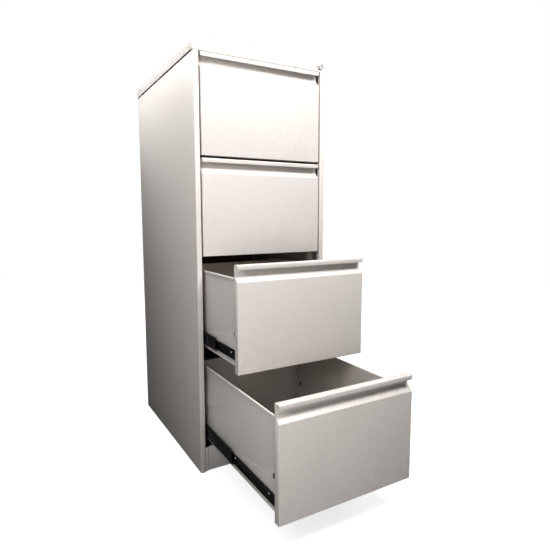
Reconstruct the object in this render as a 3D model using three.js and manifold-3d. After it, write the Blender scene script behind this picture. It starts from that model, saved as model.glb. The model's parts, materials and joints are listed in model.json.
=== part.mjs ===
// Four-drawer metal filing cabinet for foolscap files, in millimetres, +Z up.
// The origin is on the floor, at the middle of the cabinet's footprint. The drawers open towards -Y.
// Every sub-part is a folded steel sheet or a small turned or stamped piece, in a mesh of its own.
import * as THREE from 'three';
import { mergeVertices } from 'three/addons/utils/BufferGeometryUtils.js';
import Module from 'manifold-3d';

const wasm = await Module();
wasm.setup();

// ---- Driving dimensions ----
const HEIGHT = 1320;
const WIDTH = 470;
const DEPTH = 620;
const SHEET = 1;
const CLEAR = 0.3;

const FRONT_Y = -DEPTH / 2;
const BACK_Y = DEPTH / 2;

// Top cap: a pressed tray turned upside down, with a deeper fascia at the front
const FASCIA_HEIGHT = 35.5;
const SKIRT_HEIGHT = 32;
const CAP_OVERHANG = 1.5;
const FASCIA_RETURN = 8;
const FASCIA_LEDGE = 11;
const CAP_EDGE_RADIUS = 2.5;
const CAP_UNDERCUT = 1;

// Side panels: wall, front stile with a return, and a rear flange
const PANEL_HALF = WIDTH / 2 - CAP_OVERHANG;
const PANEL_TOP = HEIGHT - FASCIA_HEIGHT - CLEAR;
const STILE_WIDTH = 17;
const STILE_RETURN = 14;
const REAR_FLANGE = 20;
const STILE_HALF = PANEL_HALF - STILE_WIDTH;
const FOLD_RADIUS = 1.5;

// Plinth and base
const PLINTH_HEIGHT = 79;
const PLINTH_RECESS = 4.5;
const PLINTH_JOGGLE = 2.5;
const PLINTH_TAB = 9;
const PLINTH_FOLD_RADIUS = 0.6;
const BACK_TOP_FLANGE = 12;
const BASE_FLANGE = 25;
const BASE_FRONT_Y = FRONT_Y + STILE_RETURN + SHEET;

// Drawers
const DRAWER_PITCH = 302;
const LOWEST_FRONT_Z = 81.7;
const OPENINGS = [0, 0, 229, 436];
const FRONT_HALF = 211.5;
const FRONT_BOTTOM = 1;
const FRONT_HEIGHT = 296.5;
const FRONT_THICKNESS = 20;
const FACE_TOP = 250.5;
const RECESS_BOTTOM = 267.5;
const RECESS_DEPTH = 17.5;
const FRONT_FOLD_RADIUS = 0.8;
const FRONT_CORNER_RADIUS = FRONT_FOLD_RADIUS + SHEET;
const FRONT_EDGE_RADIUS = 1;
const LIP_HEIGHT = 13;
const LIP_THICKNESS = 2.4;
const LIP_HEM = 8;
const LIP_FOLD_RADIUS = 2;
const LIP_CORNER_RADIUS = 6;
const LINER_FLANGE = 8;
const LINER_SETBACK = FRONT_THICKNESS - 0.1;
const LINER_SHOULDER = FACE_TOP - 2 * SHEET;

const TRAY_HALF = 201.3;
const TRAY_BOTTOM = 14;
const TRAY_TOP = 260;
const TRAY_SETBACK = FRONT_THICKNESS + 0.2;
const TRAY_LENGTH = 524.8;
const TRAY_FOLD_RADIUS = 0.9;
const RIM_WIDTH = 3.5;
const RIM_DROP = 5.5;
const BACK_TOP = 250;
const BACK_FLANGE = 12;
const BACK_CLEAR = 0.4;
const SLOT_LENGTH = 7;
const SLOT_HEIGHT = 14;
const SLOT_Z = 105;
const SLOT_SETBACKS = [40, 521];
const CATCH_SETBACK = 35.8;
const CATCH_THICKNESS = 2;
const CATCH_Z = 150;
const CATCH_HEIGHT = 8;
const CATCH_REACH = 212.5;

// Telescopic ball slides: an outer, a middle and an inner member on each side of each drawer
const SLIDE_Z = 48.5;
const SLIDE_SHEET = 1.2;
const SLIDE_LENGTH = 500;
const SLIDE_SETBACK = 22;
const MIDDLE_SETBACK = 38;
const MIDDLE_LENGTH = 480;
const OUTER_MEMBER = { web: 214, tip: 204.8, half: 23 };
const MIDDLE_MEMBER = { web: 211.2, tip: 205.2, half: 19 };
const INNER_MEMBER = { web: 201.6, tip: 208.4, half: 13 };

// Uprights that carry the slides
const UPRIGHT_WEB = OUTER_MEMBER.web + CLEAR;
const UPRIGHT_BACK = 231;
const UPRIGHT_WIDTH = 30;
const UPRIGHT_SHEET = 1.2;
const FRONT_UPRIGHT_Y = -264;
const REAR_UPRIGHT_Y = 184;
const UPRIGHT_BOTTOM = BASE_FLANGE + 1;
const UPRIGHT_TOP = PANEL_TOP - 2;

// Lock: a cam turns a quarter, from 45 degrees above the level to 45 degrees below it, and its pin draws
// a light slotted bar down, so that the fingers on the bar stand in front of the catch lugs of the drawers
const LOCK_X = 215;
const LOCK_Z = 1302;
const BARREL_RADIUS = 8.8;
const BARREL_FLANGE_RADIUS = 10.5;
const BARREL_FLANGE = 1.8;
const BARREL_BORE = 6.2;
const BARREL_END_Y = -286;
const PLUG_RADIUS = 5.8;
const PLUG_END_Y = -284.6;
const KEYWAY_WIDTH = 7.2;
const KEYWAY_HEIGHT = 1.6;
const KEYWAY_DEPTH = 8;
const CAM_Y = PLUG_END_Y + CLEAR;
const CAM_THICKNESS = 2.8;
const CAM_THROW = 10;
const CAM_START = Math.PI / 4;
const CAM_HUB_RADIUS = 8.5;
const CAM_TIP_RADIUS = 4;
const PIN_RADIUS = 2.5;
const PIN_ROOT = 0.5;
const PIN_END_Y = -274;
const PIN_REACH = CAM_THROW * Math.cos(CAM_START);
const BAR_Y = -278;
const BAR_THICKNESS = 1.2;
const BAR_X = 218.5;
const BAR_RIGHT_X = 225.5;
const BAR_HEAD_X = 230.5;
const BAR_HEAD_MARGIN = 6;
const BAR_BOTTOM = 222;
const BAR_TOP_MARGIN = 3;
const BAR_SLOT_HALF = PIN_RADIUS + 0.6;
const BAR_SLOT_CLEAR = 0.4;
const FINGER_TIP = 207.5;
const FINGER_LAP_X = 225;
const FINGER_GAP = 0.3;
const FINGER_LIFT = 8.5;
const FINGER_HEIGHT = 9.5;
const FINGER_RADII = [2, 1, 1, 1];
const GUIDE_HEIGHT = 12;
const GUIDE_DEPTH = 5.5;
const GUIDE_WALL = 0.9;
const GUIDE_LEVELS = [330, 1050];

// ---- Materials ----
const paint = new THREE.MeshStandardMaterial({ color: 0xded8d3, roughness: 0.5, metalness: 0.1 });
const blackSteel = new THREE.MeshStandardMaterial({ color: 0x17181a, roughness: 0.4, metalness: 0.6 });
const zincSteel = new THREE.MeshStandardMaterial({ color: 0x9b9d9e, roughness: 0.35, metalness: 0.9 });
const chrome = new THREE.MeshStandardMaterial({ color: 0xd5d6d8, roughness: 0.15, metalness: 1 });

// ---- Solids ----
const AXIS_X = new THREE.Vector3(1, 0, 0);
const AXIS_Y = new THREE.Vector3(0, 1, 0);
const AXIS_Z = new THREE.Vector3(0, 0, 1);

function solid(geometry) {
  const bare = geometry.clone();
  bare.deleteAttribute('normal');
  bare.deleteAttribute('uv');
  const merged = mergeVertices(bare, 1e-4);
  return new wasm.Manifold(new wasm.Mesh({
    numProp: 3,
    vertProperties: new Float32Array(merged.attributes.position.array),
    triVerts: new Uint32Array(merged.index.array),
  }));
}

function geometryOf(body) {
  const mesh = body.getMesh();
  const geometry = new THREE.BufferGeometry();
  geometry.setAttribute('position', new THREE.BufferAttribute(new Float32Array(mesh.vertProperties), 3));
  geometry.setIndex(new THREE.BufferAttribute(new Uint32Array(mesh.triVerts), 1));
  return geometry;
}

function shapeOf(points) {
  return new THREE.Shape(points.map(([u, v]) => new THREE.Vector2(u, v)));
}

function extrude(points, depth) {
  return new THREE.ExtrudeGeometry(shapeOf(points), { depth, bevelEnabled: false });
}

// An outline in the Y-Z plane, drawn out along X
function alongX(points, x0, x1) {
  const geometry = extrude(points, x1 - x0);
  geometry.applyMatrix4(new THREE.Matrix4().makeBasis(AXIS_Y, AXIS_Z, AXIS_X));
  return solid(geometry.translate(x0, 0, 0));
}

// An outline in the X-Z plane, drawn out along Y
function alongY(points, y0, y1) {
  const geometry = extrude(points, y1 - y0);
  geometry.applyMatrix4(new THREE.Matrix4().makeBasis(AXIS_X, AXIS_Z, AXIS_Y.clone().negate()));
  return solid(geometry.translate(0, y1, 0));
}

// An outline in the X-Y plane, drawn out along Z
function alongZ(points, z0, z1) {
  return solid(extrude(points, z1 - z0).translate(0, 0, z0));
}

function box(x0, x1, y0, y1, z0, z1) {
  const geometry = new THREE.BoxGeometry(x1 - x0, y1 - y0, z1 - z0);
  return solid(geometry.translate((x0 + x1) / 2, (y0 + y1) / 2, (z0 + z1) / 2));
}

// A cylinder whose axis is parallel to Y
function rod(radius, x, z, y0, y1, sides = 40) {
  const geometry = new THREE.CylinderGeometry(radius, radius, y1 - y0, sides);
  return solid(geometry.translate(x, (y0 + y1) / 2, z));
}

function union(...bodies) {
  return bodies.reduce((sum, body) => sum.add(body));
}

// Turns a corner of a path into an arc; gives its centre, its start and end angles, and its tangent length
function bendAt(before, corner, after, radius) {
  const into = new THREE.Vector2(corner[0] - before[0], corner[1] - before[1]).normalize();
  const out = new THREE.Vector2(after[0] - corner[0], after[1] - corner[1]).normalize();
  const turn = Math.atan2(into.cross(out), into.dot(out));
  const side = Math.sign(turn);
  const tangent = radius * Math.tan(Math.abs(turn) / 2);
  const centre = [
    corner[0] - into.x * tangent - into.y * side * radius,
    corner[1] - into.y * tangent + into.x * side * radius,
  ];
  const start = Math.atan2(-into.x * side, into.y * side);
  return { centre, start, turn, side };
}

function arcPoint(centre, radius, angle) {
  return [centre[0] + radius * Math.cos(angle), centre[1] + radius * Math.sin(angle)];
}

// The outline of a sheet folded along a path. The path is one face of the sheet, and the material lies to
// the left of it. A third number in a point of the path is the inside radius of the fold there.
function foldedSheet(path, thickness = SHEET, usualRadius = FOLD_RADIUS, steps = 4) {
  const face = [];
  const back = [];
  const last = path.length - 1;
  const leftOf = (from, to) => {
    const along = new THREE.Vector2(to[0] - from[0], to[1] - from[1]).normalize();
    return [-along.y * thickness, along.x * thickness];
  };
  const firstOffset = leftOf(path[0], path[1]);
  face.push(path[0]);
  back.push([path[0][0] + firstOffset[0], path[0][1] + firstOffset[1]]);
  for (let i = 1; i < last; i += 1) {
    const insideRadius = path[i][2] ?? usualRadius;
    const cross = (path[i][0] - path[i - 1][0]) * (path[i + 1][1] - path[i][1])
      - (path[i][1] - path[i - 1][1]) * (path[i + 1][0] - path[i][0]);
    const faceRadius = cross > 0 ? insideRadius + thickness : insideRadius;
    const backRadius = cross > 0 ? insideRadius : insideRadius + thickness;
    const bend = bendAt(path[i - 1], path[i], path[i + 1], faceRadius);
    for (let k = 0; k <= steps; k += 1) {
      const angle = bend.start + bend.turn * k / steps;
      face.push(arcPoint(bend.centre, faceRadius, angle));
      back.push(arcPoint(bend.centre, backRadius, angle));
    }
  }
  const lastOffset = leftOf(path[last - 1], path[last]);
  face.push(path[last]);
  back.push([path[last][0] + lastOffset[0], path[last][1] + lastOffset[1]]);
  return [...face, ...back.reverse()];
}

// A polygon with a radius at each corner; a radius of 0 leaves the corner sharp
function roundedPolygon(corners, radii, steps = 4) {
  const count = corners.length;
  return corners.flatMap((corner, i) => {
    if (radii[i] === 0) {
      return [corner];
    }
    const bend = bendAt(corners[(i + count - 1) % count], corner, corners[(i + 1) % count], radii[i]);
    return Array.from({ length: steps + 1 }, (_, k) => (
      arcPoint(bend.centre, radii[i], bend.start + bend.turn * k / steps)));
  });
}

function roundedRectangle(u0, u1, v0, v1, radii) {
  return roundedPolygon([[u0, v0], [u1, v0], [u1, v1], [u0, v1]], radii);
}

function mirrored(geometry) {
  const copy = geometry.clone().scale(-1, 1, 1);
  const index = copy.index.array;
  for (let i = 0; i < index.length; i += 3) {
    [index[i + 1], index[i + 2]] = [index[i + 2], index[i + 1]];
  }
  return copy;
}

// ---- Carcass ----
function sidePanel() {
  const path = [
    [STILE_HALF, FRONT_Y + STILE_RETURN],
    [STILE_HALF, FRONT_Y],
    [PANEL_HALF, FRONT_Y],
    [PANEL_HALF, BACK_Y],
    [PANEL_HALF - REAR_FLANGE, BACK_Y],
  ];
  return geometryOf(alongZ(foldedSheet(path), 0, PANEL_TOP));
}

function backPanel() {
  const y = BACK_Y - SHEET - CLEAR;
  const path = [[y, SHEET + CLEAR], [y, PANEL_TOP], [y - BACK_TOP_FLANGE, PANEL_TOP]];
  const half = PANEL_HALF - SHEET - FOLD_RADIUS;
  return geometryOf(alongX(foldedSheet(path), -half, half));
}

function topCap() {
  const half = WIDTH / 2;
  const back = BACK_Y + CAP_OVERHANG;
  const bottom = HEIGHT - FASCIA_HEIGHT;
  const skirtBottom = HEIGHT - SKIRT_HEIGHT;
  const edge = CAP_EDGE_RADIUS;
  const below = bottom - CAP_UNDERCUT;
  const plan = alongZ(roundedRectangle(-half, half, FRONT_Y, back, Array(4).fill(edge)), bottom, HEIGHT);
  const profile = alongX(roundedRectangle(FRONT_Y, back, bottom, HEIGHT, [0, 0, edge, edge]), -half, half);
  const face = alongY(roundedRectangle(-half, half, bottom, HEIGHT, [0, 0, edge, edge]), FRONT_Y, back);
  const inside = box(-half + SHEET, half - SHEET, FRONT_Y + SHEET, back - SHEET, below, HEIGHT - SHEET);
  const underSkirt = box(-half - 1, half + 1, FRONT_Y + FASCIA_RETURN, BACK_Y - REAR_FLANGE,
    below, skirtBottom);
  const ledge = box(-half + SHEET / 2, half - SHEET / 2, FRONT_Y + SHEET / 2, FRONT_Y + FASCIA_LEDGE,
    bottom, bottom + SHEET);
  const lockHole = rod(BARREL_RADIUS + CLEAR, LOCK_X, LOCK_Z, FRONT_Y - 1, FRONT_Y + SHEET + 1);
  const barrelRoom = rod(BARREL_RADIUS + 2 * CLEAR, LOCK_X, LOCK_Z,
    FRONT_Y + SHEET, FRONT_Y + FASCIA_LEDGE + 1);
  const shell = plan.intersect(profile).intersect(face).subtract(inside).subtract(underSkirt);
  return geometryOf(shell.add(ledge).subtract(lockHole).subtract(barrelRoom));
}

function plinthRail() {
  const half = STILE_HALF - CLEAR;
  const tabEnd = half - PLINTH_TAB;
  const y = FRONT_Y + PLINTH_RECESS;
  const path = [
    [-half, y],
    [-tabEnd, y],
    [-tabEnd + PLINTH_JOGGLE, y + PLINTH_JOGGLE],
    [tabEnd - PLINTH_JOGGLE, y + PLINTH_JOGGLE],
    [tabEnd, y],
    [half, y],
  ];
  const face = alongZ(foldedSheet(path, SHEET, PLINTH_FOLD_RADIUS, 2), 0, PLINTH_HEIGHT);
  const flangeFront = y + PLINTH_JOGGLE + SHEET / 2;
  const flangeHalf = tabEnd - 2 * PLINTH_JOGGLE;
  const flanges = [0, PLINTH_HEIGHT - SHEET].map((z) => (
    box(-flangeHalf, flangeHalf, flangeFront, BASE_FRONT_Y - CLEAR, z, z + SHEET)));
  return geometryOf(union(face, ...flanges));
}

function basePan() {
  const back = BACK_Y - 2 * SHEET - 5 * CLEAR;
  const path = [
    [BASE_FRONT_Y, BASE_FLANGE],
    [BASE_FRONT_Y, 0],
    [back, 0],
    [back, BASE_FLANGE],
  ];
  const half = PANEL_HALF - SHEET - FOLD_RADIUS;
  return geometryOf(alongX(foldedSheet(path), -half, half));
}

function upright(y) {
  const path = [
    [UPRIGHT_BACK, y + UPRIGHT_WIDTH],
    [UPRIGHT_WEB, y + UPRIGHT_WIDTH],
    [UPRIGHT_WEB, y],
    [UPRIGHT_BACK, y],
  ];
  return geometryOf(alongZ(foldedSheet(path, UPRIGHT_SHEET), UPRIGHT_BOTTOM, UPRIGHT_TOP));
}

// ---- Lock ----
function lockBarrel() {
  const front = FRONT_Y - CLEAR - BARREL_FLANGE;
  const flange = rod(BARREL_FLANGE_RADIUS, LOCK_X, LOCK_Z, front, FRONT_Y - CLEAR, 48);
  const body = rod(BARREL_RADIUS, LOCK_X, LOCK_Z, FRONT_Y - CLEAR - 1, BARREL_END_Y, 48);
  const bore = rod(BARREL_BORE, LOCK_X, LOCK_Z, front - 1, BARREL_END_Y + 1, 48);
  return geometryOf(flange.add(body).subtract(bore));
}

function lockPlug() {
  const front = FRONT_Y - CLEAR - BARREL_FLANGE;
  const keyway = box(LOCK_X - KEYWAY_WIDTH / 2, LOCK_X + KEYWAY_WIDTH / 2, front - 1, front + KEYWAY_DEPTH,
    LOCK_Z - KEYWAY_HEIGHT / 2, LOCK_Z + KEYWAY_HEIGHT / 2);
  return geometryOf(rod(PLUG_RADIUS, LOCK_X, LOCK_Z, front, PLUG_END_Y, 48).subtract(keyway));
}

function lockCam() {
  const end = CAM_Y + CAM_THICKNESS;
  const tipX = LOCK_X + PIN_REACH;
  const tipZ = LOCK_Z + PIN_REACH;
  const hub = rod(CAM_HUB_RADIUS, LOCK_X, LOCK_Z, CAM_Y, end);
  const tip = rod(CAM_TIP_RADIUS, tipX, tipZ, CAM_Y, end);
  const side = CAM_TIP_RADIUS * Math.SQRT1_2;
  const arm = alongY([
    [LOCK_X - side, LOCK_Z + side],
    [LOCK_X + side, LOCK_Z - side],
    [tipX + side, tipZ - side],
    [tipX - side, tipZ + side],
  ], CAM_Y, end);
  const pin = rod(PIN_RADIUS, tipX, tipZ, end - PIN_ROOT, PIN_END_Y);
  return geometryOf(union(hub, arm, tip, pin));
}

function frontBottomZ(number) {
  return LOWEST_FRONT_Z + DRAWER_PITCH * (4 - number);
}

function lockBar() {
  const slotZ = LOCK_Z + PIN_REACH;
  const top = slotZ + BAR_SLOT_HALF + BAR_TOP_MARGIN;
  const headBottom = slotZ - BAR_SLOT_HALF - BAR_HEAD_MARGIN;
  const strip = alongY([
    [BAR_X, BAR_BOTTOM],
    [BAR_RIGHT_X, BAR_BOTTOM],
    [BAR_RIGHT_X, headBottom],
    [BAR_HEAD_X, headBottom],
    [BAR_HEAD_X, top],
    [BAR_X, top],
  ], BAR_Y, BAR_Y + BAR_THICKNESS);
  const slotEnd = PIN_RADIUS + BAR_SLOT_CLEAR;
  const slot = box(LOCK_X + PIN_REACH - slotEnd, LOCK_X + CAM_THROW + slotEnd,
    BAR_Y - 1, BAR_Y + BAR_THICKNESS + 1, slotZ - BAR_SLOT_HALF, slotZ + BAR_SLOT_HALF);
  return geometryOf(strip.subtract(slot));
}

// A finger lies flat on the back of the bar, above the catch lug of its drawer
function lockFinger(number) {
  const y = BAR_Y + BAR_THICKNESS + FINGER_GAP;
  const z = frontBottomZ(number) + CATCH_Z + FINGER_LIFT;
  const outline = roundedRectangle(FINGER_TIP, FINGER_LAP_X, z, z + FINGER_HEIGHT, FINGER_RADII);
  return geometryOf(alongY(outline, y, y + BAR_THICKNESS));
}

function lockBarGuide(z) {
  const y = BAR_Y + BAR_THICKNESS / 2 - GUIDE_DEPTH / 2;
  const block = box(BAR_X - CLEAR - GUIDE_WALL, PANEL_HALF - SHEET - CLEAR,
    y, y + GUIDE_DEPTH, z, z + GUIDE_HEIGHT);
  const passage = box(BAR_X - CLEAR, BAR_RIGHT_X + CLEAR, BAR_Y - CLEAR, BAR_Y + BAR_THICKNESS + CLEAR,
    z - 1, z + GUIDE_HEIGHT + 1);
  return geometryOf(block.subtract(passage));
}

// ---- Drawer pieces, drawn closed, with the bottom of the front at z = 0 ----
const setBack = (distance) => FRONT_Y + distance;

// What the lower corner of the lip loses to its rounding, at one end of the lip
function lipCorner(side) {
  const radius = LIP_CORNER_RADIUS;
  const centreX = side * (FRONT_HALF - radius);
  const centreZ = FRONT_HEIGHT - LIP_HEIGHT + radius;
  const outerX = side * (FRONT_HALF + 1);
  const backY = setBack(LIP_THICKNESS + 0.5);
  const corner = box(Math.min(centreX, outerX), Math.max(centreX, outerX), FRONT_Y - 1, backY,
    centreZ - radius - 1, centreZ);
  return corner.subtract(rod(radius, centreX, centreZ, FRONT_Y - 2, backY + 1, 40));
}

function drawerFront() {
  const lipBottom = FRONT_HEIGHT - LIP_HEIGHT;
  const path = [
    [setBack(SHEET), lipBottom],
    [setBack(SHEET), FRONT_HEIGHT - SHEET, LIP_FOLD_RADIUS],
    [setBack(RECESS_DEPTH), FRONT_HEIGHT - SHEET],
    [setBack(RECESS_DEPTH), RECESS_BOTTOM],
    [FRONT_Y, FACE_TOP],
    [FRONT_Y, FRONT_BOTTOM],
    [setBack(FRONT_THICKNESS), FRONT_BOTTOM],
  ];
  const sheet = alongX(foldedSheet(path, SHEET, FRONT_FOLD_RADIUS), -FRONT_HALF, FRONT_HALF);
  const corner = FRONT_CORNER_RADIUS;
  const end = roundedPolygon([
    [FRONT_Y, FRONT_BOTTOM],
    [setBack(FRONT_THICKNESS), FRONT_BOTTOM],
    [setBack(FRONT_THICKNESS), FRONT_HEIGHT],
    [setBack(RECESS_DEPTH), FRONT_HEIGHT],
    [setBack(RECESS_DEPTH), RECESS_BOTTOM],
    [FRONT_Y, FACE_TOP],
  ], [corner, 0, corner, 0, FRONT_FOLD_RADIUS, corner]);
  const ends = [-FRONT_HALF, FRONT_HALF - SHEET].map((x) => alongX(end, x, x + SHEET));
  const hem = box(-FRONT_HALF, FRONT_HALF, setBack(SHEET / 2), setBack(LIP_THICKNESS),
    lipBottom, lipBottom + LIP_HEM);
  const upperReturn = box(-FRONT_HALF, FRONT_HALF, setBack(RECESS_DEPTH), setBack(FRONT_THICKNESS),
    FRONT_HEIGHT - SHEET, FRONT_HEIGHT);
  const prism = alongZ(roundedRectangle(-FRONT_HALF, FRONT_HALF, FRONT_Y, setBack(FRONT_THICKNESS),
    [FRONT_EDGE_RADIUS, FRONT_EDGE_RADIUS, 0, 0]), FRONT_BOTTOM, FRONT_HEIGHT);
  const blank = union(sheet, hem, upperReturn, ...ends).intersect(prism);
  return geometryOf([-1, 1].reduce((body, side) => body.subtract(lipCorner(side)), blank));
}

function drawerLiner() {
  const half = FRONT_HALF - SHEET - CLEAR;
  const y = setBack(LINER_SETBACK);
  const path = [
    [half, y - LINER_FLANGE],
    [half, y],
    [-half, y],
    [-half, y - LINER_FLANGE],
  ];
  const pan = alongZ(foldedSheet(path), FRONT_BOTTOM + SHEET + CLEAR, LINER_SHOULDER);
  const upperPlate = box(-half, half, y - SHEET, y, LINER_SHOULDER - SHEET, FRONT_HEIGHT - SHEET - CLEAR);
  return geometryOf(pan.add(upperPlate));
}

function drawerTray() {
  const rimX = TRAY_HALF + RIM_WIDTH;
  const rimZ = TRAY_TOP - SHEET;
  const path = [
    [-rimX, rimZ - RIM_DROP],
    [-rimX, rimZ],
    [-TRAY_HALF, rimZ],
    [-TRAY_HALF, TRAY_BOTTOM],
    [TRAY_HALF, TRAY_BOTTOM],
    [TRAY_HALF, rimZ],
    [rimX, rimZ],
    [rimX, rimZ - RIM_DROP],
  ];
  const y = setBack(TRAY_SETBACK);
  const sheet = alongY(foldedSheet(path, SHEET, TRAY_FOLD_RADIUS), y, y + TRAY_LENGTH);
  const slots = SLOT_SETBACKS.map((setback) => (
    box(-TRAY_HALF - 1, TRAY_HALF + 1,
      setBack(setback - SLOT_LENGTH / 2), setBack(setback + SLOT_LENGTH / 2),
      SLOT_Z - SLOT_HEIGHT / 2, SLOT_Z + SLOT_HEIGHT / 2)));
  const catchLug = box(TRAY_HALF - SHEET / 2, CATCH_REACH,
    setBack(CATCH_SETBACK), setBack(CATCH_SETBACK + CATCH_THICKNESS),
    CATCH_Z - CATCH_HEIGHT / 2, CATCH_Z + CATCH_HEIGHT / 2);
  return geometryOf(sheet.subtract(union(...slots)).add(catchLug));
}

function drawerBack() {
  const half = TRAY_HALF - SHEET - BACK_CLEAR;
  const y = setBack(TRAY_SETBACK) + TRAY_LENGTH - BACK_CLEAR;
  const path = [
    [half, y - BACK_FLANGE],
    [half, y],
    [-half, y],
    [-half, y - BACK_FLANGE],
  ];
  const plate = alongZ(foldedSheet(path), TRAY_BOTTOM + SHEET + BACK_CLEAR, BACK_TOP);
  const inset = half - SHEET / 2;
  const topFlange = box(-inset, inset, y - BACK_FLANGE, y - SHEET / 2, BACK_TOP - SHEET, BACK_TOP);
  return geometryOf(plate.add(topFlange));
}

// One member of a right-hand slide: a channel whose web stands at x and whose flanges reach to its tip
function slideMember({ web, tip, half }, setback, length) {
  const low = SLIDE_Z - half;
  const high = SLIDE_Z + half;
  const opensInwards = tip < web;
  const path = opensInwards
    ? [[tip, low], [web, low], [web, high], [tip, high]]
    : [[tip, high], [web, high], [web, low], [tip, low]];
  return geometryOf(alongY(foldedSheet(path, SLIDE_SHEET), setBack(setback), setBack(setback + length)));
}

// ---- Assembly ----
const cabinet = new THREE.Group();

function place(name, geometry, material, parent = cabinet) {
  const mesh = new THREE.Mesh(geometry, material);
  mesh.name = name;
  parent.add(mesh);
}

function placePair(stem, geometry, material, parent = cabinet) {
  place(`${stem}_right`, geometry, material, parent);
  place(`${stem}_left`, mirrored(geometry), material, parent);
}

function groupAt(y, z) {
  const group = new THREE.Group();
  group.position.set(0, y, z);
  cabinet.add(group);
  return group;
}

placePair('side_panel', sidePanel(), paint);
place('back_panel', backPanel(), paint);
place('top_cap', topCap(), paint);
place('plinth_rail', plinthRail(), paint);
place('base_pan', basePan(), paint);
placePair('front_upright', upright(FRONT_UPRIGHT_Y), paint);
placePair('rear_upright', upright(REAR_UPRIGHT_Y), paint);

place('lock_barrel', lockBarrel(), chrome);
place('lock_plug', lockPlug(), chrome);
place('lock_cam', lockCam(), zincSteel);
place('lock_bar', lockBar(), zincSteel);
[1, 2, 3, 4].forEach((number) => place(`lock_finger_${number}`, lockFinger(number), zincSteel));
GUIDE_LEVELS.forEach((z, i) => place(`lock_bar_guide_${i + 1}`, lockBarGuide(z), zincSteel));

const front = drawerFront();
const liner = drawerLiner();
const tray = drawerTray();
const back = drawerBack();
const outerMember = slideMember(OUTER_MEMBER, SLIDE_SETBACK, SLIDE_LENGTH);
const middleMember = slideMember(MIDDLE_MEMBER, MIDDLE_SETBACK, MIDDLE_LENGTH);
const innerMember = slideMember(INNER_MEMBER, SLIDE_SETBACK, SLIDE_LENGTH);

OPENINGS.forEach((opening, i) => {
  const number = i + 1;
  const z = frontBottomZ(number);
  const drawer = groupAt(-opening, z);
  place(`drawer_${number}_front`, front, paint, drawer);
  place(`drawer_${number}_liner`, liner, paint, drawer);
  place(`drawer_${number}_tray`, tray, paint, drawer);
  place(`drawer_${number}_back`, back, paint, drawer);
  placePair(`slide_${number}_inner`, innerMember, blackSteel, drawer);
  placePair(`slide_${number}_middle`, middleMember, blackSteel, groupAt(-opening / 2, z));
  placePair(`slide_${number}_outer`, outerMember, blackSteel, groupAt(0, z));
});

export default cabinet;
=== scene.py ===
"""Four-drawer metal filing cabinet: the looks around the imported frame. Lengths are in metres."""
import json
import math

import bmesh
import bpy
from mathutils import Matrix, Vector


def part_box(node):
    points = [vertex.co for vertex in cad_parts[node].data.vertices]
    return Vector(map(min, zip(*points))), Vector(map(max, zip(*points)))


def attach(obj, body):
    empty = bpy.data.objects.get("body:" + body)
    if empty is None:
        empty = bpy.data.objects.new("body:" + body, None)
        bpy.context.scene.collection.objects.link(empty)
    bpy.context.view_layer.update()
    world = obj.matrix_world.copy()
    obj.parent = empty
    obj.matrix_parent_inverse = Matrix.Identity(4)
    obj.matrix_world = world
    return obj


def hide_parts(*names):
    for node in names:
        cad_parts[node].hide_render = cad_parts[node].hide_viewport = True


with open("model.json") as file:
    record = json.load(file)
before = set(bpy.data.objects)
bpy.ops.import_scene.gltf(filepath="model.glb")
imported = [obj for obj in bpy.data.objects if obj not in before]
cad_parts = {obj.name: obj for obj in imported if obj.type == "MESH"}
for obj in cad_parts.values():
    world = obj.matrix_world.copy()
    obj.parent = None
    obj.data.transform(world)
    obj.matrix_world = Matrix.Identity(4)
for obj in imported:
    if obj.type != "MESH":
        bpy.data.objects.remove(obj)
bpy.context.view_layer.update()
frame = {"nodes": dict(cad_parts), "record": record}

MM = 0.001

# Camera: in front and to the left, 0.8 m above the floor, with its principal point a little off centre
CAMERA_AT = Vector((-0.7316, -1.5988, 0.8012))
CAMERA_YAW = 0.4999
CAMERA_PITCH = -0.108
CAMERA_ROLL = -0.006
CAMERA_LENS = 29.96
SENSOR_WIDTH = 36.0
CLIP_START = 0.05
CAMERA_SHIFT = (0.0324, -0.0126)

# Tone: a little more contrast than the plain screen curve has
CONTRAST = 1.35

# Floor: half its width, the light it adds near the object and far away, the distances between which that
# changes, the tone that it shows, and the share of light that it throws back
FLOOR_HALF = 6.0
FLOOR_GLOW = (0.80, 1.0)
FLOOR_GLOW_REACH = (1.2, 3.2)
FLOOR_TONE = ((0.40, 0.40, 0.40), (0.42, 0.42, 0.42))
FLOOR_BOUNCE = (0.22, 0.217, 0.212)

# Lights: place, what it points at, width and height, and power in watts
LIGHTS = {
    "key": ((-0.15, -1.2, 1.9), (0.0, -0.35, 0.9), (0.6, 0.5), 3.6),
    "key_right": ((0.62, -1.5, 2.25), (0.05, -0.35, 0.9), (0.8, 0.7), 42.5),
    "low_front": ((-0.5, -2.2, 0.5), (0.0, -0.5, 0.5), (1.0, 0.6), 1.5),
    "low_left": ((-0.9, -1.9, 0.35), (-0.1, -0.7, 0.3), (1.2, 0.5), 7.2),
    "side_top": ((-0.6, 0.1, 1.7), (-0.23, 0.05, 1.2), (0.7, 0.6), 6.2),
    "side_back": ((-0.7, 0.3, 1.85), (-0.23, 0.1, 1.1), (0.8, 0.6), 3.6),
    "drawer_side": ((-1.2, -1.2, 1.3), (-0.2, -0.5, 0.4), (0.9, 0.9), 14.0),
    "right_fill": ((2.3, 0.9, 1.7), (0.23, 0.0, 0.7), (1.2, 1.2), 22.0),
    "back_fill": ((0.35, 2.6, 1.9), (0.0, 0.31, 0.7), (1.4, 1.2), 28.0),
}
ROOM_LIGHT = (0.004, 0.004, 0.004)
BACKDROP = (1.0, 1.0, 1.0)

DRAWERS = (1, 2, 3, 4)
SIDES = {"left": -1, "right": 1}

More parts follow.
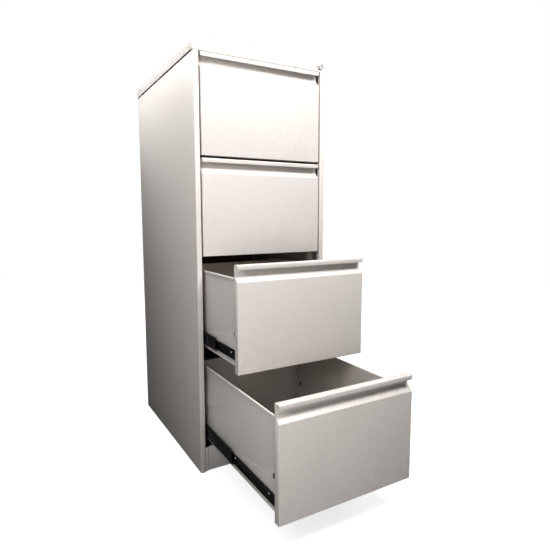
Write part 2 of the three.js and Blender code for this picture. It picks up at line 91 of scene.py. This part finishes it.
# Edges and shading of the sheets
SHEET_EDGE = 0.35 * MM
FOLD_ANGLE = math.radians(25)
SHEET_SHARP_ANGLE = math.radians(40)
PIECE_SHARP_ANGLE = math.radians(35)
FLAT_ANGLE = math.radians(0.5)
SEATING = 0.1 * MM

# Sizes that the small pieces share with the sheets they sit on
SLIDE_SHEET = 1.2 * MM
TRAY_HALF = 201.3 * MM
TRAY_LIFT = 14 * MM
SLOT_SETBACKS = (40 * MM, 521 * MM)
SLOT_LENGTH = 7 * MM
SLOT_Z = 105 * MM
TAB_LENGTH = 11 * MM
TAB_HEIGHT = 14.6 * MM
TAB_RISE = 2.4 * MM
TAB_TAPER = 0.6 * MM
# Size of the black pieces in the tray slots, which are painted shade that keeps the slots dark
SHADE_CLIP_HEIGHT = 13.6 * MM
SHADE_CLIP_GAP = 0.2 * MM
SHADE_CLIP_DEPTHS = (2.2 * MM, 0.3 * MM)
SCREW_HEAD = 3.9 * MM
SCREW_SETBACKS = {"inner": (41 * MM, 230 * MM, 430 * MM), "outer": (42 * MM, 487 * MM)}
SCREW_RISE = {"inner": 1.7 * MM, "outer": 1.3 * MM}

# Ball races: how far each stands from the middle plane, and the balls and cages in them
BALL_DISTANCE = {"inner": 206.8 * MM, "outer": 208.2 * MM}
BALL_SHARE_OF_ROOM = 0.48
BALL_STEP = 11 * MM
BALLS_IN_ROW = 7
BALL_RINGS = 8
CAGE_SETBACK = 20 * MM
CAGE_HALF_WIDTH = 1.5 * MM
CAGE_HALF_HEIGHT = 0.35 * MM
CAGE_EDGE = 0.12 * MM

# Plastic end stops: the cap on a middle member, then the plug in an inner member and the tail behind it
STOP_REACH = (-0.5 * MM, 19 * MM)
STOP_RISE = 1.2 * MM
STOP_INSET = 2 * MM
STOP_EDGE = 0.5 * MM
PLUG_REACH = (0.4 * MM, 9 * MM)
PLUG_CLEAR = 0.2 * MM
PLUG_EDGE = 0.6 * MM
TAIL_REACH = (8 * MM, 34 * MM)
TAIL_HALF_HEIGHT = 3.4 * MM

# Lock: keyway shutter (also painted shade in the keyway), the nut behind the fascia and the screw on the cam
KEYWAY_HALF = (3.4 * MM, 0.7 * MM)
SHUTTER_REACH = (0.4 * MM, 1.4 * MM)
SHUTTER_EDGE = 0.1 * MM
CAM_THICKNESS = 2.8 * MM
NUT_SETBACK = 1.8 * MM
NUT_OUTLINE = [(9.2 * MM, 0.0), (12.6 * MM, 0.0), (12.6 * MM, 4 * MM), (9.2 * MM, 4 * MM), (9.2 * MM, 0.0)]
CAM_SCREW_OUTLINE = [
    (0.0, 0.0), (3.4 * MM, 0.0), (3.4 * MM, 1.8 * MM), (3.0 * MM, 2.2 * MM), (0.0, 2.2 * MM),
]
HEXAGON = 6

# Rivets and spot welds
RIVET_COUNT = 8
RIVET_LOWEST = 60 * MM
RIVET_STEP = 165 * MM
RIVET_DISTANCE = 223.5 * MM
RIVET_SEATING = 0.05 * MM
RIVET_OUTLINE = [
    (0.0, 0.0), (3.4 * MM, 0.0), (3.2 * MM, 0.5 * MM), (2.2 * MM, 0.95 * MM), (1.1 * MM, 1.05 * MM),
    (0.95 * MM, 0.5 * MM), (0.0, 0.45 * MM),
]
WELD_COUNT = 5
WELD_LOWEST = 30 * MM
WELD_STEP = 46 * MM
WELD_SETBACK = 7 * MM
WELD_OUTLINE = [
    (0.0, 0.0), (3.2 * MM, 0.0), (2.9 * MM, 0.14 * MM), (2.2 * MM, 0.18 * MM), (1.9 * MM, 0.06 * MM),
    (0.0, 0.03 * MM),
]
TURN_STEPS = 20

# Powder coat: noise scales per metre, tones as multiples of the tint, and the share of each layer
DRIFT_SCALE = 2.2
MOTTLE_SCALE = 120.0
SPECKLE_SCALE = 560.0
WEAR_SCALE = 60.0
DUST_SCALE = 35.0
SMUDGE_SCALE = 9.0
FLATNESS_SCALE = 3.2
PEEL_SCALE = 330.0
GRAIN_SCALE = 1600.0
LIGHT_TONE = 1.025
DARK_TONE = 0.955
MOTTLE_TONE = 0.93
SPECKLE_TONE = 0.84
WORN_TONE = 1.08
# The crease tone and share set the painted shade that darkens hollows and inner corners
CREASE_SHADE_TONE = 0.55
MOTTLE_SHARE = 0.55
SPECKLE_SHARE = 0.55
WEAR_SHARE = 0.35
CREASE_SHADE_SHARE = 0.35
DUST_SHARE = 0.22
DUST_COLOUR = (0.55, 0.53, 0.5)
DUST_ROUGHNESS = 0.15

# Tints of the materials
OFF_WHITE = (0.70, 0.664, 0.636)
ZINC = (0.62, 0.62, 0.6)
CHROME = (0.52, 0.52, 0.52)
BALL_STEEL = (0.7, 0.7, 0.71)
SCREW_STEEL = (0.86, 0.86, 0.84)
BLACK_PLASTIC_AND_SHADE = (0.012, 0.012, 0.013)
STEEL_BLACK = ((0.006, 0.006, 0.007), (0.018, 0.018, 0.02))
GREASE = (0.024, 0.022, 0.02)

bodies = frame["record"]["behaviour"]["bodies"]
node_body = {node: body for body, nodes in bodies.items() for node in nodes}
node_slot = {part["node"]: part["material_slot"] for part in frame["record"]["subparts"]}


# ---------------------------------------------------------------- camera, light and floor
def add_camera():
    data = bpy.data.cameras.new("camera")
    data.sensor_width = SENSOR_WIDTH
    data.lens = CAMERA_LENS
    data.shift_x, data.shift_y = CAMERA_SHIFT
    data.clip_start = CLIP_START
    camera = bpy.data.objects.new("camera", data)
    bpy.context.scene.collection.objects.link(camera)
    forward = Vector((
        math.sin(CAMERA_YAW) * math.cos(CAMERA_PITCH),
        math.cos(CAMERA_YAW) * math.cos(CAMERA_PITCH),
        math.sin(CAMERA_PITCH),
    ))
    turn = forward.to_track_quat("-Z", "Y") @ Matrix.Rotation(CAMERA_ROLL, 3, "Z").to_quaternion()
    camera.matrix_world = Matrix.LocRotScale(CAMERA_AT, turn, None)
    bpy.context.scene.camera = camera


def add_area_light(name, place, target, size, power, colour=(1, 1, 1)):
    data = bpy.data.lights.new(name, "AREA")
    data.shape = "RECTANGLE"
    data.size, data.size_y = size
    data.energy = power
    data.color = colour
    light = bpy.data.objects.new(name, data)
    bpy.context.scene.collection.objects.link(light)
    aim = (Vector(target) - Vector(place)).to_track_quat("-Z", "Y")
    light.matrix_world = Matrix.LocRotScale(Vector(place), aim, None)
    light.visible_camera = False


def add_world(ambient, shown):
    world = bpy.data.worlds.new("studio")
    bpy.context.scene.world = world
    world.use_nodes = True
    tree = world.node_tree
    tree.nodes.clear()
    output = tree.nodes.new("ShaderNodeOutputWorld")
    mix = tree.nodes.new("ShaderNodeMixShader")
    path = tree.nodes.new("ShaderNodeLightPath")
    room = tree.nodes.new("ShaderNodeBackground")
    backdrop = tree.nodes.new("ShaderNodeBackground")
    room.inputs["Color"].default_value = (*ambient, 1)
    backdrop.inputs["Color"].default_value = (*shown, 1)
    tree.links.new(path.outputs["Is Camera Ray"], mix.inputs[0])
    tree.links.new(room.outputs[0], mix.inputs[1])
    tree.links.new(backdrop.outputs[0], mix.inputs[2])
    tree.links.new(mix.outputs[0], output.inputs["Surface"])


def add_floor(material):
    corners = [(x * FLOOR_HALF, y * FLOOR_HALF, 0) for x, y in ((-1, -1), (1, -1), (1, 1), (-1, 1))]
    mesh = bpy.data.meshes.new("floor")
    mesh.from_pydata(corners, [], [(0, 1, 2, 3)])
    mesh.materials.append(material)
    floor = bpy.data.objects.new("floor", mesh)
    bpy.context.scene.collection.objects.link(floor)


# ---------------------------------------------------------------- materials
class Paint:
    """A small helper that builds one Principled material and its procedural inputs."""

    def __init__(self, name):
        self.material = bpy.data.materials.new(name)
        self.material.use_nodes = True
        self.tree = self.material.node_tree
        self.shader = self.tree.nodes["Principled BSDF"]
        self.place = self.node("ShaderNodeTexCoord").outputs["Object"]

    def node(self, kind, **settings):
        node = self.tree.nodes.new(kind)
        for key, value in settings.items():
            setattr(node, key, value)
        return node

    def link(self, output, target):
        self.tree.links.new(output, target)

    def constant(self, **values):
        for key, value in values.items():
            self.shader.inputs[key.replace("_", " ")].default_value = value

    def stretched(self, scale):
        mapping = self.node("ShaderNodeMapping")
        mapping.inputs["Scale"].default_value = scale
        self.link(self.place, mapping.inputs["Vector"])
        return mapping.outputs[0]

    def noise(self, scale, detail=3.0, roughness=0.5, vector=None):
        noise = self.node("ShaderNodeTexNoise")
        noise.inputs["Scale"].default_value = scale
        noise.inputs["Detail"].default_value = detail
        noise.inputs["Roughness"].default_value = roughness
        self.link(vector or self.place, noise.inputs["Vector"])
        return noise.outputs[0]

    def ranged(self, value, low, high, to_low=0.0, to_high=1.0):
        ranging = self.node("ShaderNodeMapRange")
        for index, number in enumerate((low, high, to_low, to_high), start=1):
            ranging.inputs[index].default_value = number
        self.link(value, ranging.inputs[0])
        return ranging.outputs[0]

    def math(self, operation, first, second):
        node = self.node("ShaderNodeMath", operation=operation)
        for socket, value in zip(node.inputs, (first, second)):
            if isinstance(value, (int, float)):
                socket.default_value = value
            else:
                self.link(value, socket)
        return node.outputs[0]

    def mix(self, factor, first, second, blend="MIX"):
        node = self.node("ShaderNodeMix", data_type="RGBA", blend_type=blend)
        for socket, value in ((node.inputs[0], factor), (node.inputs[6], first), (node.inputs[7], second)):
            if isinstance(value, (int, float)):
                socket.default_value = value
            elif isinstance(value, tuple):
                socket.default_value = (*value, 1)
            else:
                self.link(value, socket)
        return node.outputs[2]

    def bump(self, height, strength, distance, normal=None):
        bump = self.node("ShaderNodeBump")
        bump.inputs["Strength"].default_value = strength
        bump.inputs["Distance"].default_value = distance
        self.link(height, bump.inputs["Height"])
        if normal is not None:
            self.link(normal, bump.inputs["Normal"])
        return bump.outputs[0]

    def to(self, name, output):
        self.link(output, self.shader.inputs[name])


def toned(tint, factor):
    """The tint made lighter or darker by a factor."""
    return tuple(min(1.0, channel * factor) for channel in tint)


def powder_coat(name, tint, base_roughness=0.48):
    """Satin powder coat: orange peel, fine speckle, faint tone drift, edges rubbed thin, settled dust, and
    painted shade darkening the creases.
    """
    paint = Paint(name)
    geometry = paint.node("ShaderNodeNewGeometry")
    drift = paint.ranged(paint.noise(DRIFT_SCALE, 2.0), 0.3, 0.7)
    speckle = paint.ranged(paint.noise(SPECKLE_SCALE, 2.0, 0.7), 0.32, 0.68)
    mottle = paint.ranged(paint.noise(MOTTLE_SCALE, 4.0, 0.65), 0.3, 0.7)
    light = toned(tint, LIGHT_TONE)
    colour = paint.mix(drift, toned(tint, DARK_TONE), light)
    colour = paint.mix(MOTTLE_SHARE, colour, paint.mix(mottle, toned(tint, MOTTLE_TONE), light))
    colour = paint.mix(SPECKLE_SHARE, colour, paint.mix(speckle, toned(tint, SPECKLE_TONE), light))
    edge = paint.ranged(geometry.outputs["Pointiness"], 0.53, 0.62)
    worn = paint.math("MULTIPLY", edge, paint.ranged(paint.noise(WEAR_SCALE, 5.0, 0.7), 0.45, 0.6))
    colour = paint.mix(paint.math("MULTIPLY", worn, WEAR_SHARE), colour, toned(tint, WORN_TONE))
    # Painted shade: hollows and inner corners (low pointiness) are darkened towards a darker tone of the
    # tint
    crease_shade = paint.ranged(geometry.outputs["Pointiness"], 0.47, 0.42)
    colour = paint.mix(paint.math("MULTIPLY", crease_shade, CREASE_SHADE_SHARE), colour, toned(tint, CREASE_SHADE_TONE))
    upward = paint.node("ShaderNodeSeparateXYZ")
    paint.link(geometry.outputs["Normal"], upward.inputs[0])
    facing_up = paint.ranged(upward.outputs["Z"], 0.75, 0.98)
    dust = paint.math("MULTIPLY", facing_up, paint.ranged(paint.noise(DUST_SCALE, 6.0, 0.7), 0.4, 0.75))
    colour = paint.mix(paint.math("MULTIPLY", dust, DUST_SHARE), colour, DUST_COLOUR)
    paint.to("Base Color", colour)
    smudge = paint.ranged(paint.noise(SMUDGE_SCALE, 5.0, 0.6), 0.35, 0.7, base_roughness - 0.05,
                          base_roughness + 0.07)
    rough = paint.math("ADD", smudge, paint.math("MULTIPLY", dust, DUST_ROUGHNESS))
    paint.to("Roughness", rough)
    flat = paint.bump(paint.noise(FLATNESS_SCALE, 1.0, 0.4), 0.35, 1.6 * MM)
    peel = paint.bump(paint.noise(PEEL_SCALE, 2.0, 0.5), 0.18, 0.12 * MM, flat)
    grain = paint.bump(paint.noise(GRAIN_SCALE, 2.0, 0.6), 0.12, 0.04 * MM, peel)
    paint.to("Normal", grain)
    paint.constant(Specular_IOR_Level=0.5, Coat_Weight=0.06, Coat_Roughness=0.3)
    return paint.material


def black_steel(name):
    """Black electro-coated slide steel, polished a little along its length, with a film of grease."""
    paint = Paint(name)
    along = paint.stretched((260.0, 5.0, 260.0))
    streak = paint.ranged(paint.noise(1.0, 4.0, 0.6, along), 0.35, 0.7)
    grime = paint.ranged(paint.noise(38.0, 5.0, 0.6), 0.35, 0.7)
    colour = paint.mix(streak, *STEEL_BLACK)
    colour = paint.mix(paint.math("MULTIPLY", grime, 0.35), colour, GREASE)
    paint.to("Base Color", colour)
    paint.to("Roughness", paint.ranged(streak, 0.0, 1.0, 0.26, 0.44))
    paint.to("Normal", paint.bump(paint.noise(700.0, 3.0), 0.15, 0.05 * MM))
    paint.constant(Specular_IOR_Level=0.4, Coat_Weight=0.1, Coat_Roughness=0.2)
    return paint.material


def plated_steel(name, tint, low, high, scale=220.0):
    """Plated metal: a crystalline tone pattern, fine brushing and uneven gloss."""
    paint = Paint(name)
    cells = paint.node("ShaderNodeTexVoronoi")
    cells.inputs["Scale"].default_value = scale
    paint.link(paint.place, cells.inputs["Vector"])
    tone = paint.ranged(paint.noise(45.0, 4.0), 0.3, 0.7)
    colour = paint.mix(tone, toned(tint, 0.88), tint)
    colour = paint.mix(0.12, colour, cells.outputs["Color"], "OVERLAY")
    paint.to("Base Color", colour)
    paint.to("Roughness", paint.ranged(paint.noise(90.0, 5.0, 0.65), 0.3, 0.7, low, high))
    paint.to("Normal", paint.bump(paint.noise(900.0, 3.0), 0.1, 0.04 * MM))
    paint.constant(Metallic=1.0)
    return paint.material


def moulded_plastic(name, tint, low, high):
    """Moulded plastic with a fine spark texture and slight tone drift."""
    paint = Paint(name)
    tone = paint.ranged(paint.noise(60.0, 4.0), 0.3, 0.7)
    paint.to("Base Color", paint.mix(tone, toned(tint, 0.9), tint))
    paint.to("Roughness", paint.ranged(paint.noise(300.0, 3.0), 0.3, 0.7, low, high))
    paint.to("Normal", paint.bump(paint.noise(1400.0, 2.0), 0.2, 0.05 * MM))
    return paint.material


def pale_floor():
    """A plain pale floor that the camera sees lit up, as a studio sweep is, but that throws little light."""
    paint = Paint("pale_floor")
    tone = paint.ranged(paint.noise(1.4, 3.0), 0.3, 0.7)
    paint.to("Base Color", paint.mix(tone, *FLOOR_TONE))
    paint.constant(Roughness=0.7, Emission_Color=(1, 1, 1, 1))
    away = paint.node("ShaderNodeVectorMath", operation="LENGTH")
    paint.link(paint.place, away.inputs[0])
    paint.to("Emission Strength", paint.ranged(away.outputs["Value"], *FLOOR_GLOW_REACH, *FLOOR_GLOW))
    bounce = paint.node("ShaderNodeBsdfDiffuse")
    bounce.inputs["Color"].default_value = (*FLOOR_BOUNCE, 1)
    path = paint.node("ShaderNodeLightPath")
    mix = paint.node("ShaderNodeMixShader")
    paint.link(path.outputs["Is Camera Ray"], mix.inputs[0])
    paint.link(bounce.outputs[0], mix.inputs[1])
    paint.link(paint.shader.outputs[0], mix.inputs[2])
    paint.link(mix.outputs[0], paint.tree.nodes["Material Output"].inputs["Surface"])
    return paint.material


materials = {
    "off_white_powder_coat": powder_coat("off_white_powder_coat", OFF_WHITE),
    "black_slide_steel": black_steel("black_slide_steel"),
    "zinc_plated_steel": plated_steel("zinc_plated_steel", ZINC, 0.28, 0.45),
    "lock_chrome": plated_steel("lock_chrome", CHROME, 0.30, 0.40, 60.0),
}
ball_steel = plated_steel("ball_steel", BALL_STEEL, 0.1, 0.2)
screw_steel = plated_steel("screw_steel", SCREW_STEEL, 0.3, 0.42)
# Black plastic for the real slide stops, and also for the black pieces that are painted shade in the tray
# slots and the keyway
black_plastic_and_shade = moulded_plastic("black_plastic_and_shade", BLACK_PLASTIC_AND_SHADE, 0.4, 0.6)


# ---------------------------------------------------------------- the sheets, with their real edges
def finished_copy(node):
    """A copy of a CAD node with its edges rounded as a pressed or turned edge is, and smooth folds."""
    source = frame["nodes"][node]
    mesh = bpy.data.meshes.new("fine_" + node)
    work = bmesh.new()
    work.from_mesh(source.data)
    bmesh.ops.remove_doubles(work, verts=work.verts, dist=1e-6)
    bmesh.ops.dissolve_limit(work, angle_limit=FLAT_ANGLE, verts=work.verts, edges=work.edges)
    work.to_mesh(mesh)
    work.free()
    piece = bpy.data.objects.new("fine_" + node, mesh)
    bpy.context.scene.collection.objects.link(piece)
    bevel = piece.modifiers.new("edges", "BEVEL")
    bevel.width = SHEET_EDGE
    bevel.segments = 2
    bevel.limit_method = "ANGLE"
    bevel.angle_limit = FOLD_ANGLE
    bevel.use_clamp_overlap = True
    bevel.harden_normals = False
    apply_modifiers(piece)
    for polygon in piece.data.polygons:
        polygon.use_smooth = True
    piece.data.set_sharp_from_angle(angle=SHEET_SHARP_ANGLE)
    piece.data.materials.clear()
    piece.data.materials.append(materials[node_slot[node]])
    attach(piece, node_body[node])
    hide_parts(node)
    return piece


def apply_modifiers(piece):
    graph = bpy.context.evaluated_depsgraph_get()
    mesh = bpy.data.meshes.new_from_object(piece.evaluated_get(graph))
    piece.modifiers.clear()
    old = piece.data
    piece.data = mesh
    bpy.data.meshes.remove(old)


# ---------------------------------------------------------------- small parts
def add_piece(name, work, material, body):
    """Turns a bmesh into a piece that rides on a body."""
    mesh = bpy.data.meshes.new(name)
    bmesh.ops.recalc_face_normals(work, faces=work.faces)
    work.to_mesh(mesh)
    work.free()
    for polygon in mesh.polygons:
        polygon.use_smooth = True
    mesh.set_sharp_from_angle(angle=PIECE_SHARP_ANGLE)
    mesh.materials.append(material)
    piece = bpy.data.objects.new(name, mesh)
    bpy.context.scene.collection.objects.link(piece)
    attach(piece, body)
    return piece


def add_turned(work, outline, centre, axis, steps=TURN_STEPS):
    """Spins an outline of (radius, height) points about an axis that passes through a centre."""
    turn = Vector((0, 0, 1)).rotation_difference(Vector(axis)).to_matrix()
    rings = []
    for radius, height in outline:
        angles = [0.0] if radius < 1e-7 else [math.tau * k / steps for k in range(steps)]
        spots = [Vector((radius * math.cos(angle), radius * math.sin(angle), height)) for angle in angles]
        rings.append([work.verts.new(Vector(centre) + turn @ spot) for spot in spots])
    for low, high in zip(rings, rings[1:]):
        for k in range(steps):
            after = k + 1
            corners = [
                low[k % len(low)], low[after % len(low)],
                high[after % len(high)], high[k % len(high)],
            ]
            unique = list(dict.fromkeys(corners))
            if len(unique) > 2:
                work.faces.new(unique)


def dome(radius, height, steps=5):
    """The outline of a shallow dome standing on height 0, closed underneath."""
    points = [(0.0, 0.0), (radius, 0.0)]
    angles = [math.pi / 2 * k / steps for k in range(1, steps)]
    points += [(radius * math.cos(angle), height * math.sin(angle)) for angle in angles]
    return points + [(0.0, height)]


def add_block(work, low, high, edge=0.3 * MM):
    """A box with bevelled edges, joined into a bmesh."""
    box = bmesh.new()
    bmesh.ops.create_cube(box, size=1.0)
    centre = (Vector(low) + Vector(high)) / 2
    size = Vector(high) - Vector(low)
    for vertex in box.verts:
        vertex.co = Vector(a * b for a, b in zip(vertex.co, size)) + centre
    bmesh.ops.bevel(box, geom=box.edges[:], offset=edge, segments=2, profile=0.5, affect="EDGES")
    mesh = bpy.data.meshes.new("block")
    box.to_mesh(mesh)
    box.free()
    work.from_mesh(mesh)
    bpy.data.meshes.remove(mesh)


def front_y(number):
    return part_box(f"drawer_{number}_front")[0].y


def front_z(number):
    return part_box(f"drawer_{number}_tray")[0].z - TRAY_LIFT


def member_box(number, member, side):
    """Lowest and highest corners of one slide member, the middle of its height, and half its height."""
    low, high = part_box(f"slide_{number}_{member}_{side}")
    return low, high, (low.z + high.z) / 2, (high.z - low.z) / 2


def each_slide():
    for number in DRAWERS:
        for side, sign in SIDES.items():
            yield number, side, sign


def flange_block(work, sign, near, far, y_range, z_range, edge=0.25 * MM):
    """A bevelled block between two distances from the middle plane, on the left or the right."""
    x = sorted((sign * near, sign * far))
    add_block(work, (x[0], y_range[0], z_range[0]), (x[1], y_range[1], z_range[1]), edge)


def from_front(low, reach):
    """The y range of a piece that starts and ends at two distances from the front of its member."""
    return low.y + reach[0], low.y + reach[1]


def slide_screws():
    """Zinc-plated pan-head screws: inner members on the trays, outer members on the uprights."""
    for number, side, sign in each_slide():
        for member, places in SCREW_SETBACKS.items():
            low, high, middle, _ = member_box(number, member, side)
            inner = member == "inner"
            web = min(abs(low.x), abs(high.x)) if inner else max(abs(low.x), abs(high.x))
            out = sign if inner else -sign
            seat = sign * web + out * (SLIDE_SHEET - SEATING)
            work = bmesh.new()
            for place in places:
                centre = Vector((seat, low.y + place, middle))
                add_turned(work, dome(SCREW_HEAD, SCREW_RISE[member]), centre, (out, 0, 0), 24)
            node = f"slide_{number}_{member}_{side}"
            add_piece(f"{node}_screws", work, screw_steel, node_body[node])


def ball_cages():
    """Rows of steel balls between the flanges of each pair of members, each row in a thin cage."""
    for number, side, sign in each_slide():
        for race, (inside, outside) in {"inner": ("inner", "middle"), "outer": ("middle", "outer")}.items():
            holder = f"slide_{number}_{outside}_{side}"
            low, _, middle, outer_half = member_box(number, outside, side)
            _, _, _, inner_half = member_box(number, inside, side)
            room = outer_half - SLIDE_SHEET - inner_half
            centre_height = inner_half + room / 2
            radius = BALL_SHARE_OF_ROOM * room
            angles = [math.pi * i / BALL_RINGS for i in range(BALL_RINGS + 1)]
            profile = [(radius * math.sin(angle), -radius * math.cos(angle)) for angle in angles]
            x = sign * BALL_DISTANCE[race]
            front = low.y + CAGE_SETBACK
            balls = bmesh.new()
            cage = bmesh.new()
            for row in (-1, 1):
                z = middle + row * centre_height
                for k in range(BALLS_IN_ROW):
                    centre = Vector((x, front + (0.5 + k) * BALL_STEP, z))
                    add_turned(balls, profile, centre, (0, 0, 1), 16)
                flange_block(cage, sign, abs(x) - CAGE_HALF_WIDTH, abs(x) + CAGE_HALF_WIDTH,
                             (front, front + BALLS_IN_ROW * BALL_STEP),
                             (z - CAGE_HALF_HEIGHT, z + CAGE_HALF_HEIGHT), CAGE_EDGE)
            body = node_body[holder]
            add_piece(f"ball_row_{number}_{race}_{side}", balls, ball_steel, body)
            add_piece(f"ball_cage_{number}_{race}_{side}", cage, materials["zinc_plated_steel"], body)


def slide_bumpers():
    """Black plastic end stops: a cap on the front of each middle member, a plug in each inner member."""
    for number, side, sign in each_slide():
        low, high, middle, half = member_box(number, "middle", side)
        web = max(abs(low.x), abs(high.x))
        work = bmesh.new()
        reach = half - STOP_INSET
        flange_block(work, sign, web - SEATING, web + STOP_RISE, from_front(low, STOP_REACH),
                     (middle - reach, middle + reach), STOP_EDGE)
        body = node_body[f"slide_{number}_middle_{side}"]
        add_piece(f"middle_stop_{number}_{side}", work, black_plastic_and_shade, body)
        low, high, middle, half = member_box(number, "inner", side)
        near = min(abs(low.x), abs(high.x)) + SLIDE_SHEET
        far = max(abs(low.x), abs(high.x))
        reach = half - SLIDE_SHEET - PLUG_CLEAR
        plug = bmesh.new()
        flange_block(plug, sign, near - SEATING, far - 2 * PLUG_CLEAR, from_front(low, PLUG_REACH),
                     (middle - reach, middle + reach), PLUG_EDGE)
        flange_block(plug, sign, near - SEATING, near + STOP_RISE, from_front(low, TAIL_REACH),
                     (middle - TAIL_HALF_HEIGHT, middle + TAIL_HALF_HEIGHT), STOP_EDGE)
        body = node_body[f"slide_{number}_inner_{side}"]
        add_piece(f"inner_stop_{number}_{side}", plug, black_plastic_and_shade, body)


def lanced_tabs():
    """Tongues pressed outwards behind the slots in the tray sides, rising towards the slot."""
    for number in DRAWERS:
        _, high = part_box(f"drawer_{number}_tray")
        base_z = front_z(number)
        for side, sign in SIDES.items():
            work = bmesh.new()
            for setback in SLOT_SETBACKS:
                root = front_y(number) + setback + SLOT_LENGTH / 2 + TAB_LENGTH
                lip = root - TAB_LENGTH
                add_tongue(work, sign * TRAY_HALF, sign * TAB_RISE, (root, lip),
                           (base_z + SLOT_Z - TAB_HEIGHT / 2, base_z + SLOT_Z + TAB_HEIGHT / 2))
            paint = materials["off_white_powder_coat"]
            add_piece(f"tray_tabs_{number}_{side}", work, paint, f"drawer_{number}")


def slot_shade_clips():
    """Black plastic pieces set in the slots of the tray sides, just under the outer surface, as painted
    shade that keeps the slots dark.
    """
    for number in DRAWERS:
        for side, sign in SIDES.items():
            # Painted shade: a black piece fills each slot so that the slot reads dark
            work = bmesh.new()
            for setback in SLOT_SETBACKS:
                middle = front_y(number) + setback
                z = front_z(number) + SLOT_Z
                flange_block(work, sign, TRAY_HALF - SHADE_CLIP_DEPTHS[0], TRAY_HALF - SHADE_CLIP_DEPTHS[1],
                             (middle - SLOT_LENGTH / 2 + SHADE_CLIP_GAP, middle + SLOT_LENGTH / 2 - SHADE_CLIP_GAP),
                             (z - SHADE_CLIP_HEIGHT / 2, z + SHADE_CLIP_HEIGHT / 2))
            body = f"drawer_{number}"
            add_piece(f"tray_slot_shade_clips_{number}_{side}", work, black_plastic_and_shade, body)


def add_tongue(work, x, rise, y_range, z_range, steps=8):
    """A closed tongue on a wall at x: flat at the start of y_range and curving out by rise at its end."""
    rows = []
    for k in range(steps + 1):
        share = k / steps
        y = y_range[0] + (y_range[1] - y_range[0]) * share
        out = x + rise * share * share * (3 - 2 * share)
        root = x - 0.2 * rise
        bottom = z_range[0] + TAB_TAPER * (1 - share)
        top = z_range[1] - TAB_TAPER * (1 - share)
        points = ((root, y, bottom), (out, y, bottom), (out, y, top), (root, y, top))
        rows.append([work.verts.new(Vector(point)) for point in points])
    for first, second in zip(rows, rows[1:]):
        for k in range(4):
            work.faces.new((first[k], first[(k + 1) % 4], second[(k + 1) % 4], second[k]))
    work.faces.new(rows[0])
    work.faces.new(rows[-1][::-1])


def back_rivets():
    """Blind rivets that hold the back panel to the flanges of the side panels."""
    _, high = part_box("side_panel_left")
    work = bmesh.new()
    for sign in SIDES.values():
        for k in range(RIVET_COUNT):
            place = Vector((sign * RIVET_DISTANCE, high.y - RIVET_SEATING, RIVET_LOWEST + k * RIVET_STEP))
            add_turned(work, RIVET_OUTLINE, place, (0, 1, 0))
    add_piece("back_rivets", work, materials["zinc_plated_steel"], "carcass")


def spot_welds():
    """Shallow round weld marks where each tray meets its back plate."""
    for number in DRAWERS:
        low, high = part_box(f"drawer_{number}_tray")
        work = bmesh.new()
        for sign in SIDES.values():
            for k in range(WELD_COUNT):
                height = low.z + WELD_LOWEST + WELD_STEP * k
                place = Vector((sign * TRAY_HALF, high.y - WELD_SETBACK, height))
                add_turned(work, WELD_OUTLINE, place, (sign, 0, 0))
        add_piece(f"tray_welds_{number}", work, materials["off_white_powder_coat"], f"drawer_{number}")


def lock_details():
    """The black dust shutter in the keyway, which is also painted shade that keeps the keyway dark, the nut
    behind the fascia, and the screw on the cam.
    """
    low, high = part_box("lock_barrel")
    centre = (low + high) / 2
    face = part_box("lock_plug")[0].y
    half_width, half_height = KEYWAY_HALF
    # Painted shade: a black shutter just behind the plug's face keeps the keyway dark, as a dust shutter
    # would
    shade_shutter = bmesh.new()
    add_block(shade_shutter, (centre.x - half_width, face + SHUTTER_REACH[0], centre.z - half_height),
              (centre.x + half_width, face + SHUTTER_REACH[1], centre.z + half_height), SHUTTER_EDGE)
    add_piece("keyway_shade_shutter", shade_shutter, black_plastic_and_shade, "lock_plug")
    nut = bmesh.new()
    nut_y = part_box("top_cap")[0].y + NUT_SETBACK
    add_turned(nut, NUT_OUTLINE, Vector((centre.x, nut_y, centre.z)), (0, 1, 0), HEXAGON)
    add_piece("lock_nut", nut, materials["zinc_plated_steel"], "carcass")
    cam_low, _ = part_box("lock_cam")
    screw = bmesh.new()
    screw_y = cam_low.y + CAM_THICKNESS - SEATING
    add_turned(screw, CAM_SCREW_OUTLINE, Vector((centre.x, screw_y, centre.z)), (0, 1, 0), HEXAGON)
    add_piece("cam_screw", screw, materials["zinc_plated_steel"], "lock_plug")


# ---------------------------------------------------------------- build
bpy.context.scene.view_settings.view_transform = "Standard"
bpy.context.scene.view_settings.gamma = 1 / CONTRAST
add_camera()
add_world(ROOM_LIGHT, BACKDROP)
for light_name, settings in LIGHTS.items():
    add_area_light(light_name, *settings)
add_floor(pale_floor())
for node_name in sorted(frame["nodes"]):
    finished_copy(node_name)
slide_screws()
ball_cages()
slide_bumpers()
lanced_tabs()
slot_shade_clips()
back_rivets()
spot_welds()
lock_details()
